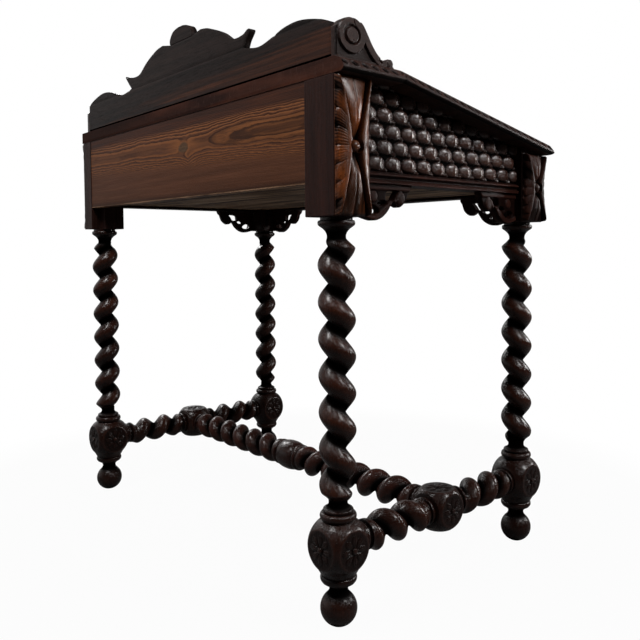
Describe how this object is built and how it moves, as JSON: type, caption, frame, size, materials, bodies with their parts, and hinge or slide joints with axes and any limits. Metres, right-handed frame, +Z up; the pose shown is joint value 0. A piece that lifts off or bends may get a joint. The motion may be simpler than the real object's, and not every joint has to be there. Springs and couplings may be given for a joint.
{
  "type": "slant-lid writing table",
  "caption": "Carved oak writing table with a hinged sloping lid over a shallow well, a shelf with a scrolled gallery, barley-twist legs and an H-shaped stretcher.",
  "frame": {"origin": "on the floor under the middle of the table", "axes": "+Z up, -Y towards the lid's nose where the writer sits, +Y towards the plain back, +X to the writer's right"},
  "size_m": [0.913, 0.5401, 0.9681],
  "materials": {
    "dark_oak": "dark stained, waxed to a soft gloss",
    "worn_oak": "stain worn thin on the carved high spots",
    "pine": "thinly stained, matt",
    "brass": "tarnished",
    "steel": "dull"
  },
  "bodies": {
    "table": {"post_back_left": "dark_oak", "post_back_right": "dark_oak", "post_front_left": "dark_oak", "post_front_right": "dark_oak", "leg_back_left": "dark_oak", "leg_back_right": "dark_oak", "leg_front_left": "dark_oak", "leg_front_right": "dark_oak", "leaf_back_left_side": "worn_oak", "leaf_back_right_side": "worn_oak", "leaf_front_left_side": "worn_oak", "leaf_front_right_side": "worn_oak", "leaf_front_left_front": "worn_oak", "leaf_front_right_front": "worn_oak", "side_panel_left": "dark_oak", "side_panel_right": "dark_oak", "front_panel": "dark_oak", "side_rail_left": "dark_oak", "side_rail_right": "dark_oak", "front_rail": "dark_oak", "back_panel": "pine", "bottom_board_front": "pine", "bottom_board_middle": "pine", "bottom_board_back": "pine", "bracket_side_back_left": "dark_oak", "bracket_side_front_left": "dark_oak", "bracket_side_front_right": "dark_oak", "bracket_front_left": "dark_oak", "bracket_front_right": "dark_oak", "side_stretcher_left": "dark_oak", "side_stretcher_right": "dark_oak", "cross_stretcher": "dark_oak", "top_shelf": "dark_oak", "gallery_board": "dark_oak", "gallery_crest": "dark_oak", "gallery_wing_left": "dark_oak", "gallery_wing_right": "dark_oak", "hinge_fixed_leaf_left": "brass", "hinge_fixed_leaf_right": "brass", "hinge_pin_left": "steel", "hinge_pin_right": "steel"},
    "lid": {"lid": "dark_oak", "hinge_moving_leaf_left": "brass", "hinge_moving_leaf_right": "brass"}
  },
  "joints": [
    {"name": "lid_hinge", "type": "hinge", "parent": "table", "child": "lid", "pos_m": [0, 0.14225, 0.8245], "axis": [-1, 0, 0], "range_deg": [0, 110]}
  ]
}
